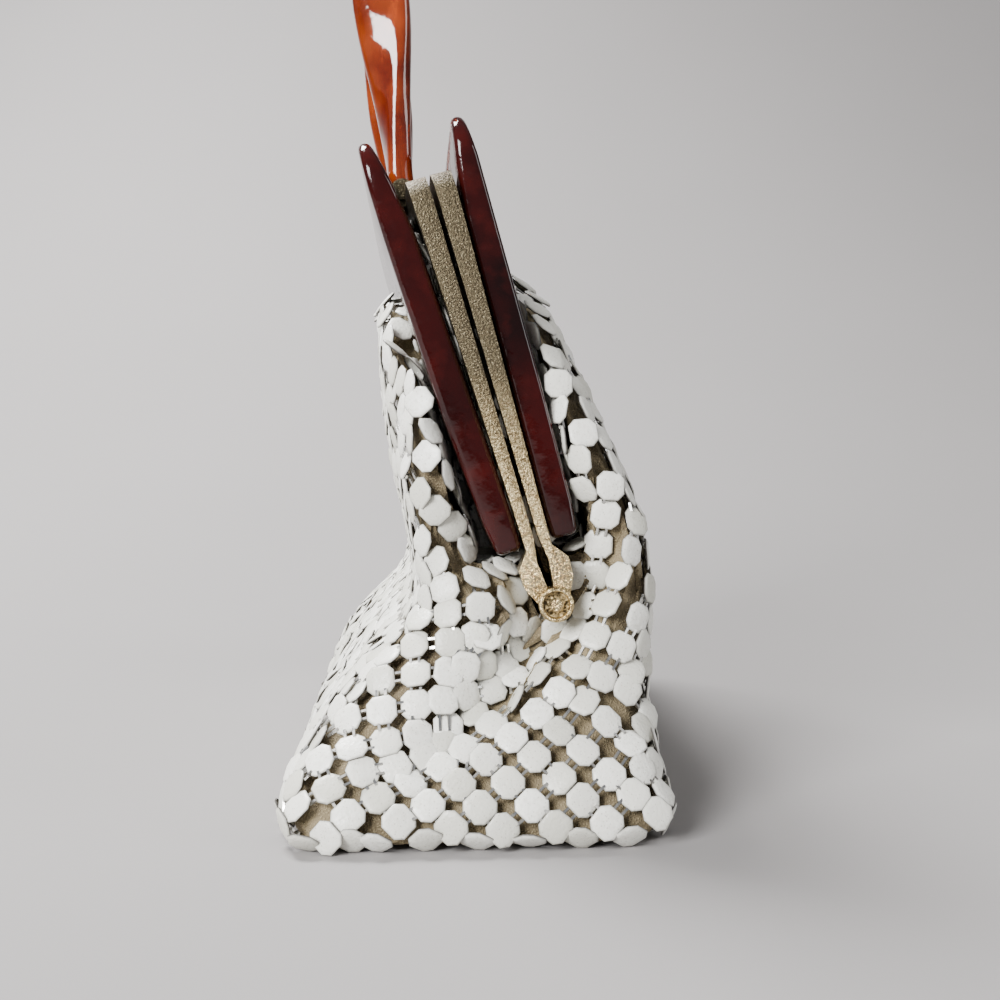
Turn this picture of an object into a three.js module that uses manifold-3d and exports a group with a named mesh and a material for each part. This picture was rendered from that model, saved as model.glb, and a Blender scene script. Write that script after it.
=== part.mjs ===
// A metal mesh purse: a soft pouch of small enamelled plates on a hinged brass frame, with two
// lucite panels on the frame's faces and a twisted lucite strap handle. Millimetres, +Z up. The
// purse stands on its flat base with the origin at the middle of the base's underside, its length
// along Y and its frame leaning towards -X, the rear.
import * as THREE from "three";
import { mergeVertices } from "three/addons/utils/BufferGeometryUtils.js";
import Module from "manifold-3d";

const wasm = await Module();
wasm.setup();

const GAP = 0.3;

// The hinge axis runs along Y, and each half of the frame leans from it by its own angle.
const HINGE_X = 17.2;
const HINGE_Z = 45.7;
const REAR_LEAN = THREE.MathUtils.degToRad(18.1);
const FRONT_LEAN = THREE.MathUtils.degToRad(15.0);

// Frame bars, measured up from the hinge axis: an inverted U of flat brass bar on each side.
const BAR_TOP = 94;
const BAR_END_OUT = 90;
const BAR_END_IN = 84;
const BAR_DEPTH = 7;
const BAR_CORNER = 6;
const BAR_FACE = 2.4;
const BAR_MOUTH_TOP = -2.0;
const BAR_MOUTH_LOW = 0.1;
const BAR_LOW = 15;
const ARM_BOW_OUT = 5.2;
const ARM_BOW_IN = 1.0;
const ARM_BOW_HEIGHT = 7.5;
const EYE_RADIUS = 3.4;
const FRAME_REACH = 10;
const RIVET_RADIUS = 1.9;
const RIVET_HEAD_RADIUS = 3.75;
const RIVET_HEAD = 1.3;
const RIVET_TAIL = 0.3;
const RIVET_TAIL_RADIUS = 2.2;

// Lucite panels: an inverted U on the outer face of each bar frame, thinner at its top edge.
const PANEL_END = 88;
const PANEL_LEG = 27;
const PANEL_LOW = 13;
const PANEL_TOP = 105.4;
const PANEL_BAR = 28;
const PANEL_CORNER = 9;
const PANEL_HOLE_CORNER = 10;
const PANEL_TIP = 2.8;
const REAR_PANEL = { inLow: 2.7, inHigh: 3.8, outLow: 8.8, outHigh: 10.4, tip: 8.2 };
const FRONT_PANEL = { inLow: 2.7, inHigh: 2.7, outLow: 9.0, outHigh: 8.9, tip: 6.8 };
const PANEL_TAPER = 84;
const PANEL_FOOT = 1.4;
const PANEL_CURVE = 12;
const PANEL_REACH = 15;

// Pouch wall and lining, and the rows of the pouch's outline: at each height, where the rear and
// the front wall stand, how far the ends reach, how round the corners are, and how deep the
// valley below the hinge is and how far it reaches to each side.
const MESH_WALL = 1.5;
const OUTLINE = [
  { z: 0.75, rear: -36.6, front: 36.6, end: 112.5, corner: 7, valley: 0, reach: 6 },
  { z: 5.5, rear: -39.0, front: 38.9, end: 113.0, corner: 8, valley: 0, reach: 6 },
  { z: 10, rear: -38.0, front: 37.6, end: 110.0, corner: 9, valley: 0.4, reach: 6 },
  { z: 17, rear: -34.4, front: 36.9, end: 105.0, corner: 11, valley: 2.0, reach: 6 },
  { z: 26, rear: -28.2, front: 36.0, end: 99.0, corner: 12, valley: 4.8, reach: 6.5 },
  { z: 33, rear: -21.2, front: 36.7, end: 95.5, corner: 12, valley: 8.2, reach: 7.5 },
  { z: 39, rear: -14.9, front: 37.2, end: 93.5, corner: 11, valley: 12.2, reach: 8.8 },
  { z: 46, rear: -9.6, front: 37.6, end: 92.5, corner: 9, valley: 12.2, reach: 9.4 },
  { z: 58, rear: -10.8, front: 36.9, end: 90.5, corner: 9, valley: 9.5, reach: 8 },
  { z: 71, rear: -14.0, front: 33.0, end: 88.0, corner: 8, valley: 0, reach: 6 },
  { z: 89, rear: -16.9, front: 26.0, end: 85.0, corner: 7, valley: 0, reach: 6 },
  { z: 105, rear: -18.0, front: 18.6, end: 80.0, corner: 5, valley: 0, reach: 6 },
  { z: 117, rear: -18.4, front: 13.6, end: 72.0, corner: 4, valley: 0, reach: 6 },
];
const BELLY = 2.2;
const BELLY_FROM = 20;
const BELLY_RISE = 40;
const VALLEY_SLANT = 1.05;
const VALLEY_HEAD = 41;
const VALLEY_FOOT = 12;
const VALLEY_FULL = 6;
const CREST_HEIGHT = 115;
const BASE_SPINE = 72;
const BASE_STEPS = [0.06, 0.5];
const MESH_CUT = 52;

// The lining is a wall set in from the mesh. It starts some rows down, and its valley is slacker.
const LINING_WALL = 0.8;
const LINING_GAP = 1.0;
const LINING_SLACK = 1.0;
const LINING_FROM = 9;

// The handle: a flat lucite strap, twisted along its length and bent into an arch on two pins.
const PIN_OUT = 2.1;
const PIN_HEIGHT = 97.6;
const PIN_RADIUS = 1.4;
const FOOT_Y = 50;
const HANDLE_LEAN = THREE.MathUtils.degToRad(6.2);
const HANDLE_LEG = 58;
const HANDLE_RISE = 42;
const STRAP_WIDTH_LOW = 9.6;
const STRAP_WIDTH_HIGH = 13.4;
const STRAP_THICK = 6;
const STRAP_STEPS = 40;
const TWIST_START = THREE.MathUtils.degToRad(90);
const FOOT_DROP = 2.0;
const FOOT_STRAIGHT = 7;
const TWIST_TURN = THREE.MathUtils.degToRad(540);
const STRAP_WIDEN_FROM = 14;
const STRAP_WIDEN_OVER = 34;
const LUG_THICK = 1.6;
const LUG_RADIUS = 2.8;
const PIN_HEAD = 0.8;

// The clasp, a plain rounded catch on the front bar that reaches over the rear bar.
const CLASP_HALF = 7;
const CLASP_REACH = { rear: -5.4, front: 1.9, bevel: 1.4 };
const CLASP_HEIGHT = { low: 0.5, side: 3, top: 4.6 };

const solidOf = (geometry) => {
  const bare = geometry.clone();
  bare.deleteAttribute("normal");
  bare.deleteAttribute("uv");
  const merged = mergeVertices(bare, 1e-4);
  return new wasm.Manifold(
    new wasm.Mesh({
      numProp: 3,
      vertProperties: new Float32Array(merged.attributes.position.array),
      triVerts: new Uint32Array(merged.index.array),
    }),
  );
};

const geometryOf = (solid) => {
  const mesh = solid.getMesh();
  const geometry = new THREE.BufferGeometry();
  geometry.setAttribute("position", new THREE.BufferAttribute(mesh.vertProperties, 3));
  geometry.setIndex(new THREE.BufferAttribute(mesh.triVerts, 1));
  return geometry;
};

const finish = {
  enamel: new THREE.MeshStandardMaterial({ color: 0xeceae0, roughness: 0.4, metalness: 0.1 }),
  fabric: new THREE.MeshStandardMaterial({ color: 0xb9a37c, roughness: 0.9, metalness: 0 }),
  brass: new THREE.MeshStandardMaterial({ color: 0xb08d4f, roughness: 0.35, metalness: 1 }),
  tortoise: new THREE.MeshStandardMaterial({ color: 0x2a0605, roughness: 0.1, metalness: 0 }),
  amber: new THREE.MeshStandardMaterial({ color: 0x8a2c08, roughness: 0.1, metalness: 0 }),
};

const named = (name, geometry, material) => {
  const mesh = new THREE.Mesh(geometry, material);
  mesh.name = name;
  return mesh;
};

// Straight bodies: an outline in (across, up) drawn out along Y, and an outline in (Y, up) drawn
// out across, so that a panel or a bar is what the two have in common.
const alongY = (shape, from, to) => {
  const body = new THREE.ExtrudeGeometry(shape, { depth: to - from, bevelEnabled: false, curveSegments: 6 });
  body.rotateX(Math.PI / 2);
  body.translate(0, to, 0);
  return solidOf(body);
};

const across = (shape, from, to) => {
  const body = new THREE.ExtrudeGeometry(shape, { depth: to - from, bevelEnabled: false, curveSegments: 6 });
  body.rotateX(Math.PI / 2);
  body.rotateZ(Math.PI / 2);
  body.translate(from, 0, 0);
  return solidOf(body);
};

const outlineOf = (points) => new THREE.Shape(points.map(([a, b]) => new THREE.Vector2(a, b)));

// An inverted U: its outer half width and top, its bar widths, and the radii of its corners.
const archShape = ({ half, top, low, leg, bar, corner, hole }) => {
  const shape = new THREE.Shape();
  const inner = half - leg;
  const roof = top - bar;
  shape.moveTo(-half, low);
  shape.lineTo(-inner, low);
  shape.lineTo(-inner, roof - hole);
  shape.absarc(-inner + hole, roof - hole, hole, Math.PI, Math.PI / 2, true);
  shape.lineTo(inner - hole, roof);
  shape.absarc(inner - hole, roof - hole, hole, Math.PI / 2, 0, true);
  shape.lineTo(inner, low);
  shape.lineTo(half, low);
  shape.lineTo(half, top - corner);
  shape.absarc(half - corner, top - corner, corner, 0, Math.PI / 2, false);
  shape.lineTo(-half + corner, top);
  shape.absarc(-half + corner, top - corner, corner, Math.PI / 2, Math.PI, false);
  return shape;
};

const cylinderY = (radius, from, to, x, z, sides = 16) => {
  const body = new THREE.CylinderGeometry(radius, radius, to - from, sides);
  body.translate(x, (from + to) / 2, z);
  return solidOf(body);
};

const boxSolid = (x0, x1, y0, y1, z0, z1) => {
  const body = new THREE.BoxGeometry(x1 - x0, y1 - y0, z1 - z0);
  body.translate((x0 + x1) / 2, (y0 + y1) / 2, (z0 + z1) / 2);
  return solidOf(body);
};

// One bar frame: the U of flat bar, whose face towards the other half closes up lower down, and
// at each end an arm that bows out and comes in to its eye on the rivet. The front frame's eyes
// are the outer ones, and the rear frame's lie behind them.
const barFrame = (side, eyeIsOuter) => {
  const section = outlineOf([
    [side * BAR_MOUTH_LOW, BAR_LOW],
    [side * ARM_BOW_IN, ARM_BOW_HEIGHT + 2],
    [side * ARM_BOW_IN * 0.6, EYE_RADIUS + 0.4],
    [side * -EYE_RADIUS * 0.45, EYE_RADIUS * 0.65],
    [0, -EYE_RADIUS * 0.5],
    [side * EYE_RADIUS * 0.9, 0],
    [side * ARM_BOW_OUT, ARM_BOW_HEIGHT - 2.5],
    [side * ARM_BOW_OUT, ARM_BOW_HEIGHT + 1.5],
    [side * BAR_FACE, BAR_LOW - 2.5],
    [side * BAR_FACE, BAR_TOP],
    [side * BAR_MOUTH_TOP, BAR_TOP],
  ]);
  const plan = archShape({
    half: BAR_END_OUT,
    top: BAR_TOP,
    low: -EYE_RADIUS * 2,
    leg: BAR_END_OUT - BAR_END_IN,
    bar: BAR_DEPTH,
    corner: BAR_CORNER,
    hole: BAR_CORNER / 2,
  });
  let frame = alongY(section, -BAR_END_OUT, BAR_END_OUT).intersect(
    across(plan, -FRAME_REACH, FRAME_REACH),
  );
  const middle = (BAR_END_OUT + BAR_END_IN) / 2;
  for (const end of [-1, 1]) {
    const eyeFrom = eyeIsOuter ? middle + GAP / 2 : BAR_END_IN;
    const eyeTo = eyeIsOuter ? BAR_END_OUT : middle - GAP / 2;
    const cutFrom = eyeIsOuter ? BAR_END_IN - 1 : middle - GAP / 2;
    const cutTo = eyeIsOuter ? middle + GAP / 2 : BAR_END_OUT + 1;
    const range = (from, to) => (end < 0 ? [-to, -from] : [from, to]);
    frame = frame
      .subtract(cylinderY(EYE_RADIUS + GAP, ...range(cutFrom, cutTo), 0, 0))
      .add(cylinderY(EYE_RADIUS, ...range(eyeFrom, eyeTo), 0, 0))
      .subtract(cylinderY(RIVET_RADIUS + GAP, ...range(BAR_END_IN - 2, BAR_END_OUT + 2), 0, 0, 14));
  }
  return frame;
};

// Two ears on the rear frame's top bar carry each handle pin.
const withLugs = (frame) => {
  const halfStrap = STRAP_WIDTH_LOW / 2 + GAP;
  let result = frame;
  for (const end of [-1, 1]) {
    for (const face of [-1, 1]) {
      const near = end * FOOT_Y + face * halfStrap;
      const far = near + face * LUG_THICK;
      const [from, to] = [Math.min(near, far), Math.max(near, far)];
      const ear = cylinderY(LUG_RADIUS, from, to, -PIN_OUT, PIN_HEIGHT)
        .add(boxSolid(-PIN_OUT - LUG_RADIUS, -PIN_OUT + LUG_RADIUS, from, to, BAR_TOP - 1.5, PIN_HEIGHT))
        .subtract(boxSolid(-20, -BAR_FACE, from - 1, to + 1, BAR_TOP - 4, BAR_TOP))
        .subtract(cylinderY(PIN_RADIUS + GAP, from - 1, to + 1, -PIN_OUT, PIN_HEIGHT, 14));
      result = result.add(ear);
    }
  }
  return result;
};

// One panel: its section from face to face, common with its plan.
const panel = (side, form) => {
  const tipLow = PANEL_TOP - PANEL_TIP / 2;
  const tipHalf = PANEL_TIP / 2;
  const section = new THREE.Shape();
  section.moveTo(side * (form.inLow + 1), PANEL_LOW);
  section.lineTo(side * (form.outLow - 1), PANEL_LOW);
  section.lineTo(side * form.outLow, PANEL_LOW + PANEL_FOOT);
  const [high, tipOuter] = [side * form.outHigh, side * (form.tip + tipHalf)];
  section.quadraticCurveTo(high + side * 0.5, PANEL_TAPER / 2, high, PANEL_TAPER);
  section.quadraticCurveTo(high, PANEL_TAPER + PANEL_CURVE, tipOuter, tipLow);
  const [tipFrom, tipTo] = side > 0 ? [0, Math.PI] : [Math.PI, 0];
  section.absarc(side * form.tip, tipLow, tipHalf, tipFrom, tipTo, side < 0);
  section.lineTo(side * form.inHigh, PANEL_TAPER);
  section.lineTo(side * form.inLow, PANEL_LOW + 1);
  const plan = archShape({
    half: PANEL_END,
    top: PANEL_TOP + 1,
    low: PANEL_LOW - 1,
    leg: PANEL_LEG,
    bar: PANEL_BAR + 1,
    corner: PANEL_CORNER,
    hole: PANEL_HOLE_CORNER,
  });
  return alongY(section, -PANEL_END - 1, PANEL_END + 1).intersect(
    across(plan, -PANEL_REACH, PANEL_REACH),
  );
};

const spun = (rows, sides) =>
  new THREE.LatheGeometry(rows.map(([radius, height]) => new THREE.Vector2(radius, height)), sides);

// The rivet: a shank through both eyes, a raised rim round a domed outer head, a flat inner head.
const rivet = (end) => {
  const inner = BAR_END_IN - GAP;
  const outer = BAR_END_OUT + GAP;
  const body = spun(
    [
      [0, inner - RIVET_TAIL],
      [RIVET_TAIL_RADIUS, inner - RIVET_TAIL],
      [RIVET_TAIL_RADIUS, inner],
      [RIVET_RADIUS, inner],
      [RIVET_RADIUS, outer],
      [RIVET_HEAD_RADIUS, outer],
      [RIVET_HEAD_RADIUS, outer + RIVET_HEAD],
      [RIVET_HEAD_RADIUS - 0.5, outer + RIVET_HEAD + 0.4],
      [RIVET_HEAD_RADIUS - 1.1, outer + RIVET_HEAD],
      [1.2, outer + RIVET_HEAD + 0.1],
      [0, outer + RIVET_HEAD + 0.3],
    ],
    14,
  );
  if (end < 0) body.rotateZ(Math.PI);
  return body;
};

// The pouch's wall is worked out as a middle surface. A value of the outline at a height comes
// from its rows by a smooth curve through them.
const outlineAt = (key, z) => {
  const last = OUTLINE.length - 1;
  const h = Math.min(Math.max(z, OUTLINE[0].z), OUTLINE[last].z);
  let k = 0;
  while (k < last - 1 && OUTLINE[k + 1].z < h) k += 1;
  const slope = (i) => {
    const [a, b] = [Math.max(i - 1, 0), Math.min(i + 1, last)];
    return (OUTLINE[b][key] - OUTLINE[a][key]) / (OUTLINE[b].z - OUTLINE[a].z);
  };
  const [p, q] = [OUTLINE[k], OUTLINE[k + 1]];
  const span = q.z - p.z;
  const t = (h - p.z) / span;
  return (
    p[key] * (1 + 2 * t) * (1 - t) ** 2 +
    slope(k) * span * t * (1 - t) ** 2 +
    q[key] * t * t * (3 - 2 * t) +
    slope(k + 1) * span * t * t * (t - 1)
  );
};

const ease = (t) => {
  const c = Math.min(Math.max(t, 0), 1);
  return c * c * (3 - 2 * c);
};

const leanOf = (side) => (side < 0 ? REAR_LEAN : FRONT_LEAN);

// A point given in one frame half's own measures: out from the bars, along Y, up from the hinge.
const onFrame = (side, out, y, up) =>
  new THREE.Vector3(
    HINGE_X - up * Math.sin(leanOf(side)) + side * out * Math.cos(leanOf(side)),
    y,
    HINGE_Z + up * Math.cos(leanOf(side)) + side * out * Math.sin(leanOf(side)),
  );

// Where the valley below the hinge runs at a height: slanting down towards the rear.
const valleyX = (z) =>
  HINGE_X - VALLEY_SLANT * (VALLEY_HEAD - THREE.MathUtils.clamp(z, VALLEY_FOOT, VALLEY_HEAD));

// Where the cloth's middle passes a panel's outer face at a height. The panel's foot is square to
// the leaning frame, so the rear one is met a little higher up its own height.
const PANEL_CLEAR = 1.2;
const PANEL_SQUARE = 3;
const panelOuter = (side, z) => {
  const form = side < 0 ? REAR_PANEL : FRONT_PANEL;
  const up = (z - HINGE_Z) / Math.cos(leanOf(side)) - side * PANEL_SQUARE;
  return onFrame(side, form.outHigh + MESH_WALL / 2 + PANEL_CLEAR, 0, up).x;
};

// One quarter of the pouch's level section, from the valley line or the panel's outer face at the
// near end, round the corner and down the wall to the middle: its measures, and a point on it.
const START_FROM = VALLEY_HEAD + 5;
const START_OVER = 12;
const sectionOf = (side, z) => {
  const wall = outlineAt(side < 0 ? "rear" : "front", z);
  const end = outlineAt("end", z);
  const beside = ease((z - START_FROM) / START_OVER);
  const start = THREE.MathUtils.lerp(valleyX(z), panelOuter(side, z), beside);
  const width = Math.abs(wall - start);
  const corner = Math.min(outlineAt("corner", z), width);
  const arc = (corner * Math.PI) / 2;
  return { wall, end, start, width, corner, arc, total: width - corner + arc + end - corner };
};

const sectionPoint = (side, z, along, slack) => {
  const { wall, end, start, width, corner, arc, total } = sectionOf(side, z);
  const run = along * total;
  let x = wall;
  let y = -end + corner + run - (width - corner + arc);
  if (run < width - corner) {
    x = start + side * run;
    y = -end;
  } else if (run < width - corner + arc) {
    const angle = (run - width + corner) / corner;
    x = wall - side * corner * (1 - Math.sin(angle));
    y = -end + corner * (1 - Math.cos(angle));
  }
  const valley = outlineAt("valley", z);
  const fromValley = (x - start) / (outlineAt("reach", z) + 2 * slack);
  y += (valley + slack * ease(valley / VALLEY_FULL)) * Math.exp(-(fromValley ** 4));
  const belly = BELLY * ease((z - BELLY_FROM) / BELLY_RISE) * (1 - (y / end) ** 2);
  return new THREE.Vector3(x + side * belly, y, z);
};

// A path of straight runs, read by its share of length.
const pathPoint = (points, share) => {
  const lengths = points.slice(1).map((p, i) => Math.hypot(p[0] - points[i][0], p[1] - points[i][1]));
  let run = share * lengths.reduce((sum, l) => sum + l, 0);
  for (let i = 0; i < lengths.length; i += 1) {
    if (run <= lengths[i] || i === lengths.length - 1) {
      const t = lengths[i] ? run / lengths[i] : 0;
      return [
        points[i][0] + (points[i + 1][0] - points[i][0]) * t,
        points[i][1] + (points[i + 1][1] - points[i][1]) * t,
      ];
    }
    run -= lengths[i];
  }
  return points[points.length - 1];
};

// The pouch's edge runs inside the bars, and its cloth comes out past the panel's edge: under the
// panel's foot near the hinge, then round the inner edge of its leg and of its top bar.
const EDGE_PATH = [
  [-BAR_END_IN + 3.4, -3.5],
  [-BAR_END_IN + 3.4, 4],
  [-BAR_END_IN + 1.6, 9],
  [-BAR_END_IN + GAP, BAR_LOW + 3],
  [-BAR_END_IN + GAP, BAR_TOP - BAR_DEPTH - 6],
  [-BAR_END_IN + 4, BAR_TOP - BAR_DEPTH - GAP],
  [0, BAR_TOP - BAR_DEPTH - GAP],
];
const PASS_GAP = MESH_WALL / 2 + 1.3;
const PASS_Y = PANEL_END - PANEL_LEG - PASS_GAP;
const PASS_ROOF = PANEL_TOP - PANEL_BAR - PASS_GAP;
const PASS_FOOT = PANEL_LOW - PASS_GAP;
const PASS_PATH = [
  [-BAR_END_IN + 2.8, -4],
  [-BAR_END_IN + 2.6, PASS_FOOT - 3],
  [-BAR_END_IN + 5, PASS_FOOT],
  [-PASS_Y - 2, PASS_FOOT],
  [-PASS_Y, PASS_FOOT + 2],
  [-PASS_Y, PASS_ROOF - PANEL_HOLE_CORNER],
  [-PASS_Y + PANEL_HOLE_CORNER * 0.3, PASS_ROOF - PANEL_HOLE_CORNER * 0.3],
  [-PASS_Y + PANEL_HOLE_CORNER, PASS_ROOF],
  [0, PASS_ROOF],
];
const PASS_BULGE = 2.4;
const PASS_STEP = 0.015;
const CORNER_SHARE = 0.58;
const CORNER_BLEND = { before: 0.06, over: 0.1 };
const BASE_CORNER_SHARE = 0.5;
const WALL_ROWS = 8;
const ROW_BLEND = { from: 0.1, over: 0.85 };

// By the hinge the cloth is led round the frame's arms instead: how far out from the bars its
// inner, middle and outer folds lie there, and how much nearer the end the outer one is.
const ARM_FOLD = { inner: 1.6, middle: 7.0, outer: 9.5, end: 1.8, share: 0.08 };
const ARM_RISE = { from: 4, over: 6 };
const ARM_BEHIND = { from: 4, over: 8 };
const OUTER_CLEAR = 0.8;
const CREST_DROP = { far: 1.5, near: 3 };

// The line below the hinge itself, where the rear and the front cloth meet.
const HINGE_LINE = { y: EDGE_PATH[0][0] + 0.3, drop: 6.2, step: 0.7, crest: 9.4 };

// The middle surface's line for a share of the way from the near hinge (0) to the middle of the
// side (1): first its folds round the bars and the panel, which end at the outer one.
const foldLine = (side, share, slack) => {
  const form = side < 0 ? REAR_PANEL : FRONT_PANEL;
  const { lerp } = THREE.MathUtils;
  const [edgeY, edgeUp] = pathPoint(EDGE_PATH, share);
  const [passY, passUp] = pathPoint(PASS_PATH, share);
  const [beforeY, beforeUp] = pathPoint(PASS_PATH, Math.max(share - PASS_STEP, 0));
  const [afterY, afterUp] = pathPoint(PASS_PATH, Math.min(share + PASS_STEP, 1));
  const step = Math.hypot(afterY - beforeY, afterUp - beforeUp);
  const [awayY, awayUp] = [(afterUp - beforeUp) / step, -(afterY - beforeY) / step];
  const above = ease((edgeUp - ARM_RISE.from) / ARM_RISE.over);
  const behind = ease((passY + BAR_END_IN - ARM_BEHIND.from) / ARM_BEHIND.over);
  const inside = form.inLow - GAP - MESH_WALL / 2 + ARM_FOLD.inner * (1 - above);
  const middle = lerp(ARM_FOLD.middle, (form.inLow + form.outHigh) / 2, behind);
  const outside = lerp(ARM_FOLD.outer, form.outHigh + MESH_WALL / 2 + OUTER_CLEAR, behind);
  const bulge = PASS_BULGE * behind;
  const pass = onFrame(side, outside, passY, passUp);
  const rows = [
    onFrame(side, inside, edgeY, edgeUp),
    onFrame(side, inside, (edgeY + passY) / 2, (edgeUp + passUp) / 2),
    onFrame(side, inside, passY, passUp),
    onFrame(side, middle, passY + awayY * bulge, passUp + awayUp * bulge),
    onFrame(side, outside, passY - ARM_FOLD.end * (1 - behind), passUp),
  ];
  const below = (row) =>
    new THREE.Vector3(HINGE_X, HINGE_LINE.y + slack, HINGE_Z - HINGE_LINE.drop - row * HINGE_LINE.step);
  return { pass, passY, rows: share === 0 ? rows.map((_, row) => below(row)) : rows };
};

// Then the line goes on down the wall to the base. The lining's line has slack.
const wallLine = (side, share, slack) => {
  const { lerp } = THREE.MathUtils;
  const { pass, passY, rows } = foldLine(side, share, slack);
  const points = [...rows];
  const drop = CREST_DROP.far + CREST_DROP.near * (1 - ease(share / ARM_FOLD.share));
  const crest = share === 0 ? HINGE_Z - HINGE_LINE.crest : Math.min(pass.z - drop, CREST_HEIGHT);
  const level = sectionOf(side, crest);
  const onLeg = share === 0 ? 0 : Math.max(side * (pass.x - level.start), 0) / level.total;
  const onTop = 1 + passY / level.total;
  const past = ease((share - CORNER_SHARE + CORNER_BLEND.before) / CORNER_BLEND.over);
  const alongCrest = lerp(onLeg, onTop, past);
  const topShare = Math.max(share - CORNER_SHARE, 0) / (1 - CORNER_SHARE);
  const alongBase =
    share < CORNER_SHARE
      ? (share / CORNER_SHARE) * BASE_CORNER_SHARE
      : BASE_CORNER_SHARE + (1 - BASE_CORNER_SHARE) * topShare;
  for (let row = 0; row <= WALL_ROWS; row += 1) {
    const t = row / WALL_ROWS;
    const along = lerp(alongCrest, alongBase, ease(t * ROW_BLEND.over + ROW_BLEND.from));
    points.push(sectionPoint(side, lerp(crest, OUTLINE[1].z, t), along, slack));
  }
  const foot = sectionPoint(side, OUTLINE[0].z, alongBase, slack);
  points.push(foot);
  const spineY = Math.max(foot.y, -BASE_SPINE);
  for (const inward of BASE_STEPS) {
    points.push(new THREE.Vector3(foot.x * (1 - inward), lerp(foot.y, spineY, inward), foot.z));
  }
  return points;
};

// The shares of the way round at which lines of the wall are laid, closer near the ends.
const LINE_SHARES = [0, 0.05, 0.09, 0.13, 0.18, 0.24, 0.3, 0.36, 0.41, 0.46, 0.52, 0.6, 0.7, 0.85, 1];

// The middle surface as a grid: lines round the pouch from the near hinge by the rear wall and
// back by the front wall, each with the same number of points from its edge to the base.
const middleGrid = (slack) => {
  const quarter = (side) => LINE_SHARES.map((share) => wallLine(side, share, slack));
  const mirrored = (line) => line.map((p) => new THREE.Vector3(p.x, -p.y, p.z));
  const [back, face] = [quarter(-1), quarter(1)];
  const last = LINE_SHARES.length - 1;
  return [
    ...back,
    ...back.slice(0, last).reverse().map(mirrored),
    ...face.slice(1, last).map(mirrored),
    ...face.slice(1).reverse(),
  ];
};

// A wall between two offsets of the middle surface, its edge closed along the rim and both of its
// faces closed at the middle of the base.
const wallBetween = (grid, outer, inner) => {
  const [lines, rows] = [grid.length, grid[0].length];
  const at = (i, j) => grid[(i + lines) % lines][Math.min(Math.max(j, 0), rows - 1)];
  const normalAt = (i, j) => {
    const normal = new THREE.Vector3();
    for (const [di, dj] of [[1, 1], [-1, 1], [1, -1], [-1, -1]]) {
      const along = at(i + di, j).clone().sub(at(i, j)).multiplyScalar(di);
      const down = at(i, j + dj).clone().sub(at(i, j)).multiplyScalar(dj);
      normal.add(along.cross(down).normalize());
    }
    return normal.normalize();
  };
  const positions = [];
  const shells = [outer, inner].map((offset) => {
    const base = positions.length / 3;
    for (let i = 0; i < lines; i += 1) {
      for (let j = 0; j < rows; j += 1) {
        const normal = j === rows - 1 ? new THREE.Vector3(0, 0, -1) : normalAt(i, j);
        const p = at(i, j).clone().addScaledVector(normal, offset);
        positions.push(p.x, p.y, p.z);
      }
    }
    positions.push(0, 0, grid[0][rows - 1].z - offset);
    return base;
  });
  const faces = [];
  shells.forEach((base, shell) => {
    const face = (a, b, c) => faces.push(...(shell === 0 ? [a, c, b] : [a, b, c]));
    for (let i = 0; i < lines; i += 1) {
      const [here, next] = [base + i * rows, base + ((i + 1) % lines) * rows];
      for (let j = 0; j < rows - 1; j += 1) {
        face(here + j, here + j + 1, next + j + 1);
        face(here + j, next + j + 1, next + j);
      }
      face(here + rows - 1, base + lines * rows, next + rows - 1);
    }
  });
  for (let i = 0; i < lines; i += 1) {
    const [here, next] = [i * rows, ((i + 1) % lines) * rows];
    faces.push(shells[0] + here, shells[1] + next, shells[0] + next);
    faces.push(shells[0] + here, shells[1] + here, shells[1] + next);
  }
  const geometry = new THREE.BufferGeometry();
  geometry.setAttribute("position", new THREE.BufferAttribute(new Float32Array(positions), 3));
  geometry.setIndex(faces);
  return geometry;
};

// The handle's middle line: two legs and an arch between them, leaning from the pins.
const handlePath = () => {
  const path = new THREE.CurvePath();
  const arch = [];
  for (let k = 0; k <= 12; k += 1) {
    const angle = Math.PI - (k / 12) * Math.PI;
    arch.push(new THREE.Vector3(0, FOOT_Y * Math.cos(angle), HANDLE_LEG + HANDLE_RISE * Math.sin(angle)));
  }
  path.add(new THREE.LineCurve3(new THREE.Vector3(0, -FOOT_Y, -FOOT_DROP), arch[0]));
  path.add(new THREE.CatmullRomCurve3(arch));
  path.add(new THREE.LineCurve3(arch[12], new THREE.Vector3(0, FOOT_Y, -FOOT_DROP)));
  return path;
};

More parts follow.
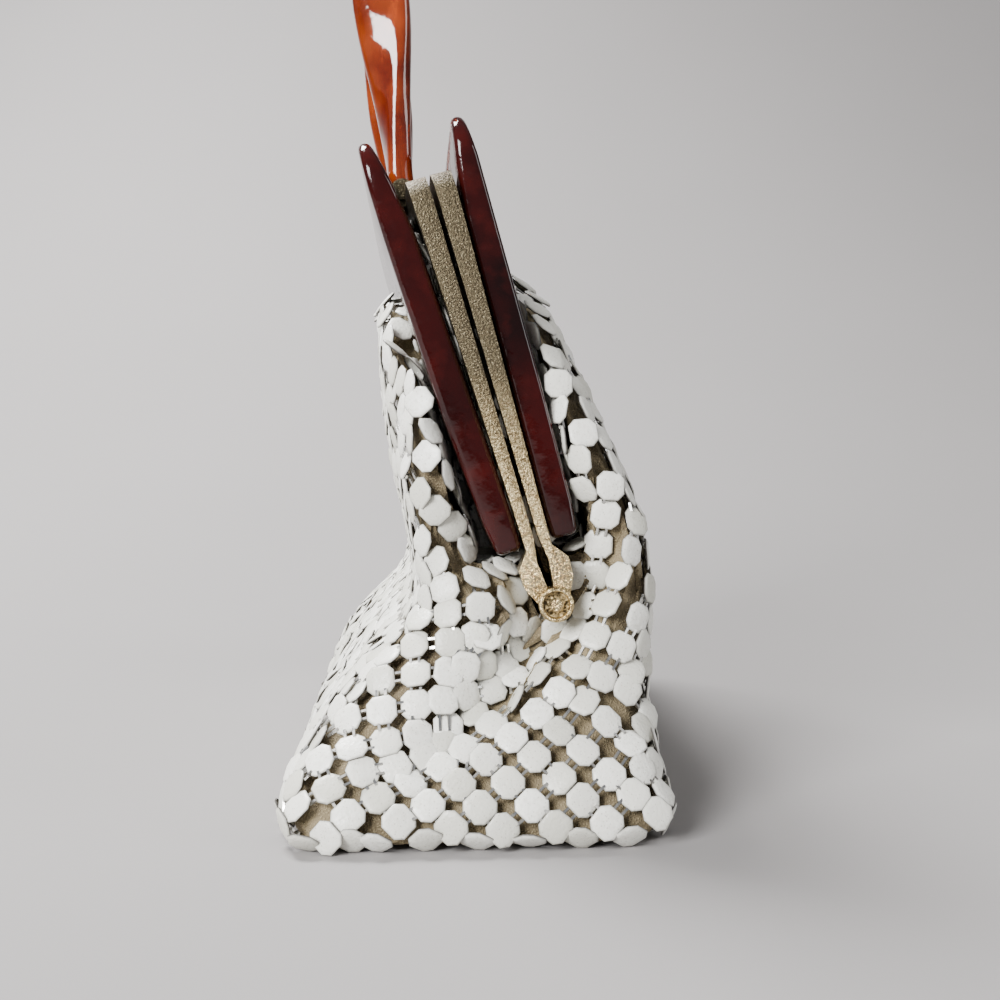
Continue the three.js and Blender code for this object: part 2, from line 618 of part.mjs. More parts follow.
// The strap: a rounded oblong section carried along the line, turning steadily as it goes.
const STRAP_SECTION = [
  [0.5, 0.18], [0.42, 0.42], [0.2, 0.5], [-0.2, 0.5], [-0.42, 0.42], [-0.5, 0.18],
  [-0.5, -0.18], [-0.42, -0.42], [-0.2, -0.5], [0.2, -0.5], [0.42, -0.42], [0.5, -0.18],
];
const strap = () => {
  const path = handlePath();
  const length = path.getLength();
  const positions = [];
  const faces = [];
  const sides = STRAP_SECTION.length;
  for (let k = 0; k <= STRAP_STEPS; k += 1) {
    const share = k / STRAP_STEPS;
    const point = path.getPointAt(share);
    const tangent = path.getTangentAt(share);
    const flat = new THREE.Vector3(1, 0, 0);
    const edge = new THREE.Vector3().crossVectors(tangent, flat);
    const rise = Math.min(share, 1 - share) * length;
    const widen = ease((rise - STRAP_WIDEN_FROM) / STRAP_WIDEN_OVER);
    const width = THREE.MathUtils.lerp(STRAP_WIDTH_LOW, STRAP_WIDTH_HIGH, widen);
    const turned = (share * length - FOOT_STRAIGHT) / (length - 2 * FOOT_STRAIGHT);
    const twist = TWIST_START - TWIST_TURN * Math.min(Math.max(turned, 0), 1);
    for (const [w, t] of STRAP_SECTION) {
      const [a, b] = [w * width, t * STRAP_THICK];
      const p = point
        .clone()
        .addScaledVector(flat, a * Math.cos(twist) - b * Math.sin(twist))
        .addScaledVector(edge, a * Math.sin(twist) + b * Math.cos(twist));
      positions.push(p.x, p.y, p.z);
    }
  }
  for (let k = 0; k < STRAP_STEPS; k += 1) {
    for (let s = 0; s < sides; s += 1) {
      const [a, b] = [k * sides + s, k * sides + ((s + 1) % sides)];
      faces.push(a, b, b + sides, a, b + sides, a + sides);
    }
  }
  for (let s = 1; s < sides - 1; s += 1) {
    faces.push(0, s + 1, s);
    const top = STRAP_STEPS * sides;
    faces.push(top, top + s, top + s + 1);
  }
  const geometry = new THREE.BufferGeometry();
  geometry.setAttribute("position", new THREE.BufferAttribute(new Float32Array(positions), 3));
  geometry.setIndex(faces);
  let solid = solidOf(geometry);
  for (const end of [-1, 1]) {
    const [from, to] = [end * FOOT_Y - 8, end * FOOT_Y + 8];
    solid = solid.subtract(cylinderY(PIN_RADIUS + GAP, from, to, 0, 0, 14));
  }
  return solid;
};

const pin = () => {
  const neck = STRAP_WIDTH_LOW / 2 + GAP + LUG_THICK + GAP;
  const head = LUG_RADIUS * 0.8;
  return spun(
    [
      [0, -neck - PIN_HEAD],
      [head, -neck - PIN_HEAD],
      [head, -neck],
      [PIN_RADIUS, -neck],
      [PIN_RADIUS, neck],
      [head, neck],
      [head, neck + PIN_HEAD],
      [0, neck + PIN_HEAD],
    ],
    14,
  );
};

const clasp = () => {
  const { rear, front, bevel } = CLASP_REACH;
  const { low, side, top } = CLASP_HEIGHT;
  const shape = outlineOf([
    [rear, BAR_TOP + low],
    [front, BAR_TOP + low],
    [front, BAR_TOP + side],
    [front - bevel, BAR_TOP + top],
    [rear + bevel, BAR_TOP + top],
    [rear, BAR_TOP + side],
  ]);
  return alongY(shape, -CLASP_HALF, CLASP_HALF);
};

const group = new THREE.Group();
const rear = new THREE.Group();
rear.position.set(HINGE_X, 0, HINGE_Z);
rear.rotation.y = -REAR_LEAN;
const front = rear.clone();
front.rotation.y = -FRONT_LEAN;
group.add(rear, front);

rear.add(named("rear_frame", geometryOf(withLugs(barFrame(-1, false))), finish.brass));
rear.add(named("rear_panel", geometryOf(panel(-1, REAR_PANEL)), finish.tortoise));
front.add(named("front_frame", geometryOf(barFrame(1, true)), finish.brass));
front.add(named("front_panel", geometryOf(panel(1, FRONT_PANEL)), finish.tortoise));
front.add(named("clasp", geometryOf(clasp()), finish.brass));
for (const [name, end] of [["near_hinge_rivet", -1], ["far_hinge_rivet", 1]]) {
  const mesh = named(name, rivet(end), finish.brass);
  mesh.position.set(HINGE_X, 0, HINGE_Z);
  group.add(mesh);
}

const handle = named("handle", geometryOf(strap()), finish.amber);
handle.position.set(-PIN_OUT, 0, PIN_HEIGHT);
handle.rotation.y = REAR_LEAN - HANDLE_LEAN;
rear.add(handle);
for (const [name, end] of [["near_handle_pin", -1], ["far_handle_pin", 1]]) {
  const mesh = named(name, pin(), finish.brass);
  mesh.position.set(-PIN_OUT, end * FOOT_Y, PIN_HEIGHT);
  rear.add(mesh);
}

// The mesh is one sheet in the real purse. It is cut level here, a little above the hinge, into its
// base and the two walls that hang from the frames.
const halfMesh = MESH_WALL / 2;
const sheet = solidOf(wallBetween(middleGrid(0), halfMesh, -halfMesh));
const [upperSheet, lowerSheet] = sheet.splitByPlane([0, 0, 1], MESH_CUT);
const leftEdge = (solid) => solid.boundingBox().min[0];
const [rearWall, frontWall] = upperSheet.decompose().sort((a, b) => leftEdge(a) - leftEdge(b));
group.add(named("mesh_base", geometryOf(lowerSheet), finish.enamel));
group.add(named("rear_mesh_wall", geometryOf(rearWall), finish.enamel));
group.add(named("front_mesh_wall", geometryOf(frontWall), finish.enamel));

const liningOut = -halfMesh - LINING_GAP;
const liningGrid = middleGrid(LINING_SLACK).map((line) => line.slice(LINING_FROM));
const liningWall = wallBetween(liningGrid, liningOut, liningOut - LINING_WALL);
group.add(named("lining", liningWall, finish.fabric));

export default group;
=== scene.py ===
import math

import bmesh
import bpy
import numpy as np
from mathutils import Euler, Matrix, Vector, kdtree
from mathutils.bvhtree import BVHTree


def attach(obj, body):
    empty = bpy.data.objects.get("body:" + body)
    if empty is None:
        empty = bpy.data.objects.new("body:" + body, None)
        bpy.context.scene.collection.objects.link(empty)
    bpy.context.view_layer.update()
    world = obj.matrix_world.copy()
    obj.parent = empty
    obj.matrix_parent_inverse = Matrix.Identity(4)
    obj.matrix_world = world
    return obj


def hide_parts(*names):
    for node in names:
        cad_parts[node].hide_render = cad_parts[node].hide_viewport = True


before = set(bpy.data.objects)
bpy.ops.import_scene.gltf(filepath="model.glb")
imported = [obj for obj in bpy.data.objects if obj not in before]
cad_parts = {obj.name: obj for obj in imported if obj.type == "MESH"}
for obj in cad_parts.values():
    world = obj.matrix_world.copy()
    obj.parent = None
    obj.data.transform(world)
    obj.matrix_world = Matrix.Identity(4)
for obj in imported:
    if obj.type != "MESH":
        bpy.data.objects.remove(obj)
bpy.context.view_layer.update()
MM = 0.001

# The camera stands level with the upper mesh, 0.37 m from the middle of the purse and looking
# along its length, as the photograph was taken.
CAMERA_EYE = Vector((-0.0118, -0.372, 0.080))
CAMERA_TURN = Euler((math.radians(87.5), 0, math.radians(-3.5)))
LENS = 48.6
SENSOR = 36
PICTURE = 1000

camera_data = bpy.data.cameras.new("camera")
camera_data.lens = LENS
camera_data.sensor_width = SENSOR
camera_data.clip_start = 0.01
camera = bpy.data.objects.new("camera", camera_data)
camera.location = CAMERA_EYE
camera.rotation_euler = CAMERA_TURN
bpy.context.collection.objects.link(camera)
bpy.context.scene.camera = camera


def sight_line(across_px, down_px):
    """The direction from the camera through a place in the photograph."""
    reach = SENSOR / LENS / PICTURE
    ray = Vector(((across_px - PICTURE / 2) * reach, (PICTURE / 2 - down_px) * reach, -1))
    return (CAMERA_TURN.to_matrix() @ ray).normalized()


# The lining: a plain tan cloth bag sewn inside the mesh, which shows in the gaps between the
# plates. It starts as the outer skin of the mesh's solids and is sunk beneath the plates later.
LINING_SINK = 2.1 * MM
LINING_LEAST = 1.6 * MM
LINING_THICK = 0.5 * MM
SKIN_SMOOTHING = 6
INNER_TURN = math.radians(70)
WELD = 0.01 * MM


def only(obj):
    """Deselects everything else and makes one object active."""
    bpy.ops.object.select_all(action="DESELECT")
    obj.select_set(True)
    bpy.context.view_layer.objects.active = obj


def finished(obj, body):
    """Puts a piece's place into its mesh and lets it ride on its body."""
    only(obj)
    bpy.ops.object.transform_apply(location=True, rotation=True, scale=True)
    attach(obj, body)
    return obj


def choose_faces(obj, test):
    """Selects only the faces whose centre and normal pass a test, in edit mode."""
    bpy.ops.object.mode_set(mode="EDIT")
    bpy.ops.mesh.select_mode(type="FACE")
    bpy.ops.mesh.select_all(action="DESELECT")
    bpy.ops.object.mode_set(mode="OBJECT")
    for polygon in obj.data.polygons:
        polygon.select = test(polygon.center, polygon.normal)
    bpy.ops.object.mode_set(mode="EDIT")


def modified(obj, kind, **settings):
    """Adds a modifier and applies it."""
    only(obj)
    modifier = obj.modifiers.new(kind.lower(), kind)
    for key, value in settings.items():
        setattr(modifier, key, value)
    bpy.ops.object.modifier_apply(modifier=modifier.name)


def copy_of(node):
    """A copy of a CAD node, to be worked on as a piece."""
    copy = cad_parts[node].copy()
    copy.data = copy.data.copy()
    bpy.context.collection.objects.link(copy)
    return copy


def outer_skin(nodes, cut, name):
    """The outer side of walls that meet at a level cut, eased into one flowing surface."""
    copies = [copy_of(node) for node in nodes]
    only(copies[0])
    for copy in copies[1:]:
        copy.select_set(True)
    bpy.ops.object.transform_apply(location=True, rotation=True, scale=True)
    bpy.ops.object.join()
    whole = bpy.context.active_object
    whole.name = name
    choose_faces(whole, lambda centre, normal: abs(centre.z - cut) < 0.01 * MM and abs(normal.z) > 0.99)
    bpy.ops.mesh.delete(type="FACE")
    bpy.ops.mesh.select_all(action="SELECT")
    bpy.ops.mesh.remove_doubles(threshold=WELD)
    choose_faces(whole, lambda centre, normal: abs(centre.z - MESH_WALL) < 0.1 * MM and normal.z > 0.9)
    bpy.ops.mesh.faces_select_linked_flat(sharpness=INNER_TURN)
    bpy.ops.mesh.delete(type="FACE")
    bpy.ops.object.mode_set(mode="OBJECT")
    modified(whole, "SUBSURF", subdivision_type="SIMPLE", levels=2, render_levels=2)
    modified(whole, "SMOOTH", factor=0.5, iterations=SKIN_SMOOTHING)
    return whole


MESH_NODES = ["mesh_base", "rear_mesh_wall", "front_mesh_wall"]
MESH_CUT = 52 * MM
MESH_WALL = 1.5 * MM
skin = outer_skin(MESH_NODES, MESH_CUT, "lining_cloth")
skin_tree = BVHTree.FromPolygons(
    [v.co.copy() for v in skin.data.vertices],
    [tuple(p.vertices) for p in skin.data.polygons],
)


def grid_group(name, inputs, outputs):
    """An empty node group with named float inputs and outputs."""
    group = bpy.data.node_groups.new(name, "ShaderNodeTree")
    for label, value in inputs:
        socket = group.interface.new_socket(label, in_out="INPUT", socket_type="NodeSocketFloat")
        socket.default_value = value
    for label in outputs:
        group.interface.new_socket(label, in_out="OUTPUT", socket_type="NodeSocketFloat")
    return group, group.nodes.new("NodeGroupInput"), group.nodes.new("NodeGroupOutput")


def mottle_group():
    """Soft patches: a mask between two levels of noise, at a scale per metre."""
    group, given, result = grid_group(
        "mottle", [("Scale", 100.0), ("Low", 0.4), ("High", 0.6)], ["Mask"]
    )
    place = group.nodes.new("ShaderNodeTexCoord")
    noise = group.nodes.new("ShaderNodeTexNoise")
    noise.inputs["Detail"].default_value = 4
    spread = group.nodes.new("ShaderNodeMapRange")
    group.links.new(place.outputs["Object"], noise.inputs["Vector"])
    group.links.new(given.outputs["Scale"], noise.inputs["Scale"])
    group.links.new(noise.outputs["Fac"], spread.inputs["Value"])
    group.links.new(given.outputs["Low"], spread.inputs["From Min"])
    group.links.new(given.outputs["High"], spread.inputs["From Max"])
    group.links.new(spread.outputs["Result"], result.inputs["Mask"])
    return group


def speckle_group():
    """Small round specks or pits, at a scale per metre and with a size of up to about 0.5."""
    group, given, result = grid_group("speckle", [("Scale", 1000.0), ("Size", 0.2)], ["Mask"])
    place = group.nodes.new("ShaderNodeTexCoord")
    cells = group.nodes.new("ShaderNodeTexVoronoi")
    spread = group.nodes.new("ShaderNodeMapRange")
    spread.inputs["From Min"].default_value = 0
    spread.inputs["To Min"].default_value = 1
    spread.inputs["To Max"].default_value = 0
    group.links.new(place.outputs["Object"], cells.inputs["Vector"])
    group.links.new(given.outputs["Scale"], cells.inputs["Scale"])
    group.links.new(cells.outputs["Distance"], spread.inputs["Value"])
    group.links.new(given.outputs["Size"], spread.inputs["From Max"])
    group.links.new(spread.outputs["Result"], result.inputs["Mask"])
    return group


MOTTLE = mottle_group()
SPECKLE = speckle_group()


class Finish:
    """A material being put together: masks, mixed colours and values, and bumps."""

    def __init__(self, name, color, roughness, metallic=0.0):
        self.material = bpy.data.materials.new(name)
        self.material.use_nodes = True
        self.nodes = self.material.node_tree.nodes
        self.links = self.material.node_tree.links
        self.shader = self.nodes["Principled BSDF"]
        self.shader.inputs["Base Color"].default_value = (*color, 1)
        self.shader.inputs["Roughness"].default_value = roughness
        self.shader.inputs["Metallic"].default_value = metallic

    def mask(self, group, **values):
        node = self.nodes.new("ShaderNodeGroup")
        node.node_tree = group
        for key, value in values.items():
            node.inputs[key].default_value = value
        return node.outputs["Mask"]

    def attribute(self, name):
        node = self.nodes.new("ShaderNodeAttribute")
        node.attribute_name = name
        return node.outputs["Fac"]

    def times(self, a, b):
        node = self.nodes.new("ShaderNodeMath")
        node.operation = "MULTIPLY"
        for socket, value in zip(node.inputs, (a, b)):
            if isinstance(value, (int, float)):
                socket.default_value = value
            else:
                self.links.new(value, socket)
        return node.outputs[0]

    def mix(self, factor, a, b):
        node = self.nodes.new("ShaderNodeMix")
        node.data_type = "RGBA"
        self.links.new(factor, node.inputs[0])
        for socket, value in ((node.inputs[6], a), (node.inputs[7], b)):
            if isinstance(value, tuple):
                socket.default_value = (*value, 1)
            else:
                self.links.new(value, socket)
        return node.outputs[2]

    def between(self, factor, a, b):
        node = self.nodes.new("ShaderNodeMapRange")
        node.inputs["To Min"].default_value = a
        node.inputs["To Max"].default_value = b
        self.links.new(factor, node.inputs["Value"])
        return node.outputs["Result"]

    def bump(self, height, distance, strength=1.0):
        node = self.nodes.new("ShaderNodeBump")
        node.inputs["Distance"].default_value = distance
        node.inputs["Strength"].default_value = strength
        self.links.new(height, node.inputs["Height"])
        self.feed("Normal", node.outputs["Normal"])

    def feed(self, socket, value):
        self.links.new(value, self.shader.inputs[socket])

    def put_on(self, obj):
        obj.data.materials.clear()
        obj.data.materials.append(self.material)


cloth = Finish("lining cloth", (0.24, 0.18, 0.10), 0.9)
patches = cloth.mask(MOTTLE, Scale=60.0, Low=0.35, High=0.65)
cloth_color = cloth.mix(patches, (0.09, 0.065, 0.035), (0.24, 0.19, 0.11))
threads = cloth.mask(SPECKLE, Scale=2200.0, Size=0.6)
cloth.feed("Base Color", cloth.mix(threads, cloth_color, (0.32, 0.26, 0.15)))
cloth.bump(threads, 0.0002)

# The plates: cream enamelled octagons of pressed metal, each hung from its side neighbours. At the
# near end they lie where the photograph shows them, the far end mirrors that, and a lattice goes
# on round the rest of the pouch at its own pitch.
PLATE_ACROSS = 6.3 * MM
PLATE_CORNER = 1.45 * MM
PLATE_PITCH = 6.75 * MM
PLATE_LIFT = 0.25 * MM
PLATE_TILT = math.radians(7)
# each ring: its share of the plate's half width, its height in mm, and how dark it is painted, a painted
# shade where the plates meet
PLATE_RINGS = [(0.60, 0.38, 0), (0.88, 0.20, 0), (0.97, 0.02, 0.35), (1.0, -0.2, 1), (0.94, -0.42, 1)]
PLATE_DOME = 0.42 * MM
NEAR_CHART = {
    # (steps down-right, steps up-right): (across_px, down_px) of the plate's middle
    (-1, -1): (285, 824), (0, 0): (326, 838), (1, 1): (375, 841), (2, 2): (426, 845), (3, 3): (477, 848),
    (4, 4): (529, 848), (5, 5): (581, 846), (6, 6): (630, 841), (7, 7): (678, 835),
    (0, 1): (348, 817), (1, 2): (399, 822), (2, 3): (451, 828), (3, 4): (503, 830),
    (4, 5): (556, 827), (5, 6): (607, 823), (6, 7): (657, 814), (-1, 0): (298, 807),
    (-1, 1): (329, 789), (0, 2): (378, 798), (1, 3): (428, 806), (2, 4): (480, 808),
    (3, 5): (532, 806), (4, 6): (583, 801), (5, 7): (633, 795), (-2, 1): (320, 761),
    (-1, 2): (363, 772), (0, 3): (411, 783), (1, 4): (459, 785), (2, 5): (508, 783),
    (3, 6): (559, 779), (4, 7): (609, 775), (5, 8): (653, 764), (-2, 2): (352, 748),
    (-1, 3): (395, 767), (0, 4): (441, 767), (1, 5): (486, 760), (2, 6): (534, 757),
    (3, 7): (583, 751), (4, 8): (630, 744), (-2, 3): (386, 742), (-1, 4): (426, 756),
    (0, 5): (465, 749), (1, 6): (511, 738), (2, 7): (559, 731), (3, 8): (606, 722),
    (4, 9): (647, 714), (-3, 2): (348, 720), (-3, 3): (382, 711), (-2, 4): (418, 735),
    (-1, 5): (445, 743), (0, 6): (492, 725), (1, 7): (537, 714), (2, 8): (583, 701),
    (3, 9): (627, 690), (-2, 5): (448, 728), (-2, 6): (474, 714), (0, 7): (516, 700),
    (1, 8): (559, 693), (2, 9): (602, 677), (-1, 8): (515, 677), (0, 8): (538, 675),
    (1, 9): (578, 667), (2, 10): (621, 647), (0, 9): (556, 649), (1, 10): (595, 636),
    (2, 11): (637, 618), (0, 10): (573, 629), (1, 11): (607, 604), (0, 11): (584, 606),
    (1, 12): (619, 576), (-4, 3): (381, 681), (-3, 4): (416, 705), (-4, 4): (416, 674),
    (-5, 4): (415, 645), (-3, 5): (443, 700), (-4, 5): (449, 672), (-5, 5): (450, 642),
    (-6, 5): (448, 613), (-7, 5): (445, 588), (-3, 6): (466, 695), (-4, 6): (465, 667),
    (-5, 6): (474, 638), (-6, 6): (480, 607), (-7, 6): (476, 578), (-3, 7): (491, 689),
    (-4, 7): (483, 665), (-5, 7): (487, 636), (-4, 8): (505, 664), (-5, 8): (503, 634),
    (-8, 6): (466, 549), (-9, 6): (452, 526), (-10, 6): (435, 510), (-11, 6): (421, 493),
    (-10, 7): (462, 495), (-11, 7): (447, 475), (-12, 7): (427, 456), (-13, 7): (411, 439),
    (-13, 8): (435, 424), (-14, 8): (419, 402), (-15, 8): (402, 381), (-15, 9): (425, 371),
    (-16, 9): (410, 346), (0, 12): (595, 575), (0, 13): (599, 544), (1, 13): (631, 551),
    (0, 14): (605, 514), (0, 15): (610, 486), (0, 16): (614, 464), (-1, 15): (584, 489),
    (-1, 16): (580, 459), (-1, 17): (583, 433), (-1, 18): (586, 410), (-2, 17): (559, 438),
    (-2, 18): (559, 409), (-2, 19): (558, 384), (-2, 20): (562, 361), (-3, 21): (535, 336),
    (-3, 22): (537, 310),
}
CHART_REACH = 2.6
CHART_EASE = 0.02
NEAR_LIMIT = -0.060
STEEPEST = 0.15
CLOSEST_NEAR = 4.2 * MM
CLOSEST_WALL = 5.6 * MM
CLOSEST_GAP = 4.1 * MM
HOLE_REACH = 5.1 * MM
STEPS_DOWN = range(-19, 10)
STEPS_UP = range(-4, 26)

chart_steps = np.array(list(NEAR_CHART), dtype=float)
chart_places = np.array(list(NEAR_CHART.values()), dtype=float)


def thin_plate(a, b):
    apart = np.linalg.norm(a[:, None] - b[None], axis=2)
    return apart**2 * np.log(apart + 1e-9)


def chart_spline():
    """The smooth bending of a flat lattice that takes each charted plate to its place."""
    count = len(chart_steps)
    border = np.hstack([np.ones((count, 1)), chart_steps])
    kernel = thin_plate(chart_steps, chart_steps) + CHART_EASE * np.eye(count)
    system = np.block([[kernel, border], [border.T, np.zeros((3, 3))]])
    return np.linalg.solve(system, np.vstack([chart_places, np.zeros((3, 2))]))


SPLINE = chart_spline()


def chart_place(i, j):
    """Where plate (i, j) lies in the photograph, charted or not."""
    step = np.array([[i, j]], dtype=float)
    return (thin_plate(step, chart_steps) @ SPLINE[:-3] + np.hstack([[[1]], step]) @ SPLINE[-3:])[0]


LOWEST_RIM = 0.1 * MM
LEAN_UNDER = Vector((0, 0, -0.65))
BASE_NORMAL = -0.97
RIM_SHARE = 0.52
MOST_PLATES = 9000
FAR_AWAY = 9.0
plates = []
plate_spots = np.full((MOST_PLATES, 3), FAR_AWAY)


def lay_plate(spot, normal, along, closest):
    """Adds one plate unless another already lies too near."""
    if np.linalg.norm(plate_spots[: len(plates) + 1] - np.array(spot), axis=1).min() < closest:
        return
    if normal.z > BASE_NORMAL:
        if spot.z < PLATE_ACROSS / 2:
            normal = (normal + LEAN_UNDER).normalized()
        reach_down = PLATE_ACROSS * RIM_SHARE * math.sqrt(1 - min(normal.z**2, 1))
        spot = Vector((spot.x, spot.y, max(spot.z, reach_down + LOWEST_RIM)))
    across = normal.cross(along).normalized()
    plate_spots[len(plates)] = spot
    plates.append((spot.copy(), normal.copy(), across.cross(normal).normalized()))


def near_plates():
    """The plates that the photograph shows, the charted ones first and then those next to them."""
    found = []
    for i in STEPS_DOWN:
        for j in STEPS_UP:
            charted = (i, j) in NEAR_CHART
            reach = np.linalg.norm(chart_steps - (i, j), axis=1).min()
            if reach > CHART_REACH:
                continue
            across_px, down_px = NEAR_CHART[(i, j)] if charted else chart_place(i, j)
            ray = sight_line(across_px, down_px)
            spot, normal, _, _ = skin_tree.ray_cast(CAMERA_EYE, ray)
            if spot is None or spot.y > NEAR_LIMIT:
                continue
            if not charted and -normal.dot(ray) < STEEPEST:
                continue
            ahead = sight_line(*chart_place(i + 0.5, j)) - sight_line(*chart_place(i - 0.5, j))
            along = (ahead - ray * (ahead.dot(normal) / ray.dot(normal))).normalized()
            found.append((not charted, reach, spot, normal, along))
    found.sort(key=lambda f: (f[0], f[1]))
    return found


for uncharted, _, spot, normal, along in near_plates():
    lay_plate(spot, normal, along, CLOSEST_NEAR if uncharted else 0)
MIRROR_Y = Vector((1, -1, 1))
for spot, normal, along in list(plates):
    lay_plate(spot * MIRROR_Y, normal * MIRROR_Y, along * MIRROR_Y, CLOSEST_NEAR)

DIAGONAL = PLATE_PITCH / math.sqrt(2)
WALL_FOOT = 3.2 * MM
WALL_ROOF = 128 * MM
PROFILE_STEP = 0.6 * MM
PROFILE_JUMP = 4 * MM
END_COLUMNS = 22


def wall_plates(side):
    """The lattice on a long wall: columns along the purse, each measured up its own profile."""
    for k in range(-END_COLUMNS, END_COLUMNS + 1):
        y = k * DIAGONAL
        run = 0
        step = k % 2
        last = None
        z = WALL_FOOT
        while z < WALL_ROOF:
            spot, normal, _, _ = skin_tree.ray_cast(Vector((side * 0.2, y, z)), Vector((-side, 0, 0)))
            if spot is None:
                break
            if last is not None:
                rise = (spot - last).length
                if rise > PROFILE_JUMP:
                    break
                run += rise
                if run >= step * DIAGONAL and abs(normal.x) > STEEPEST:
                    upward = (spot - last).normalized()
                    along = (Vector((0, 1, 0)) + upward).normalized()
                    lay_plate(spot, normal, along, CLOSEST_WALL)
                if run >= step * DIAGONAL:
                    step += 2
            last = spot
            z += PROFILE_STEP


for wall_side in (-1, 1):
    wall_plates(wall_side)
BASE_ROWS = 8
BASE_SINK = 0.62 * MM
BASE_LEVEL = 0.6 * MM
for k in range(-END_COLUMNS, END_COLUMNS + 1):
    for m in range(-BASE_ROWS, BASE_ROWS + 1):
        if (k + m) % 2:
            continue
        below = Vector((m * DIAGONAL, k * DIAGONAL, -0.05))
        spot, normal, _, _ = skin_tree.ray_cast(below, Vector((0, 0, 1)))
        if spot is not None and normal.z < BASE_NORMAL and spot.z < BASE_LEVEL:
            sunk = Vector((spot.x, spot.y, BASE_SINK))
            lay_plate(sunk, Vector((0, 0, -1)), Vector((1, 1, 0)).normalized(), CLOSEST_WALL)

GAP_REACH = 3.6 * MM
GAP_TURN = -0.2
GAP_UNDER = -0.6


def fill_gaps(closest, most):
    """Grows the lattice outwards from the plates that are there, until no gap takes another. A
    place with more than a few plates close round it is a hole of the lattice, and stays open."""
    tried = 0
    while tried < len(plates):
        spot, normal, along = plates[tried]
        tried += 1
        across = normal.cross(along)
        for way in (along, -along, across, -across):
            found, up, _, away = skin_tree.find_nearest(spot + way * PLATE_PITCH)
            if found is None or away > GAP_REACH or up.dot(normal) < GAP_TURN or up.z < GAP_UNDER:
                continue
            away_from = np.linalg.norm(plate_spots[: len(plates)] - np.array(found), axis=1)
            if (away_from < HOLE_REACH).sum() > most:
                continue
            lay_plate(found, up, (along - up * along.dot(up)).normalized(), closest)


fill_gaps(CLOSEST_WALL, most=4)
fill_gaps(CLOSEST_GAP, most=3)
PLATE_SEED = 7
LIFT_SPREAD = 0.25


def plate_mesh():
    """All the plates as one mesh, with a tone for each plate and the painted shade at each plate's edge."""
    chance = np.random.default_rng(PLATE_SEED)
    half = PLATE_ACROSS / 2
    flat = half - PLATE_CORNER
    outline = [(half, flat), (flat, half), (-flat, half), (-half, flat)]
    outline += [(-x, -y) for x, y in outline]
    local = [(0, 0, PLATE_DOME)]
    rim = [0.0]
    for share, height, painted_shade in PLATE_RINGS:
        for x, y in outline:
            local.append((share * x, share * y, height * MM))
            rim.append(painted_shade)
    faces = [(0, 1 + c, 1 + (c + 1) % 8) for c in range(8)]
    for ring in range(len(PLATE_RINGS) - 1):
        for c in range(8):
            a, b = 1 + ring * 8 + c, 1 + ring * 8 + (c + 1) % 8
            faces.append((a, a + 8, b + 8, b))
    local = np.array(local)
    points, polygons, tones, rims = [], [], [], []
    for spot, normal, along in plates:
        tilt = chance.normal(0, PLATE_TILT, 2)
        across = normal.cross(along)
        leant = (normal + along * tilt[0] + across * tilt[1]).normalized()
        if normal.z < BASE_NORMAL:
            leant = normal
        side = leant.cross(along).normalized()
        fore = side.cross(leant)
        lift = PLATE_LIFT + chance.uniform(0, LIFT_SPREAD) * MM
        if normal.z < BASE_NORMAL:
            lift = 0
        base = len(points) * len(local)
        frame_axes = np.array([fore, side, leant])
        placed = local @ frame_axes + np.array(spot + normal * lift)
        placed[:, 2] -= min(placed[:, 2].min(), 0)
        points.append(placed)
        polygons.extend(tuple(base + v for v in face) for face in faces)
        tones.append(np.full(len(local), chance.uniform(0, 1)))
        rims.append(rim)
    mesh = bpy.data.meshes.new("enamel_plates")
    mesh.from_pydata(np.vstack(points).tolist(), [], polygons)
    for name, values in (("tone", np.concatenate(tones)), ("rim", np.concatenate(rims))):
        layer = mesh.attributes.new(name, "FLOAT", "POINT")
        layer.data.foreach_set("value", values)
    return mesh


# The link bars: short bars of bare metal, a pair between each two plates that are side neighbours.
# They reach a little way in under both plates' rims. What holds them there isn't modelled.
BAR_WIDTH = 0.75 * MM
BAR_THICK = 0.45 * MM
BAR_APART = 1.9 * MM
BAR_UNDER = 2.35 * MM
BAR_SHORTEST = 0.2 * MM
BAR_CROWN = 0.7
LINK_SHORTEST = 6.0 * MM
LINK_LONGEST = 8.9 * MM
LINK_SQUARE = math.cos(math.radians(24))
LINK_CLEAR = 0.62
LINK_TURN = 0.5
LINK_STEEP = 0.55


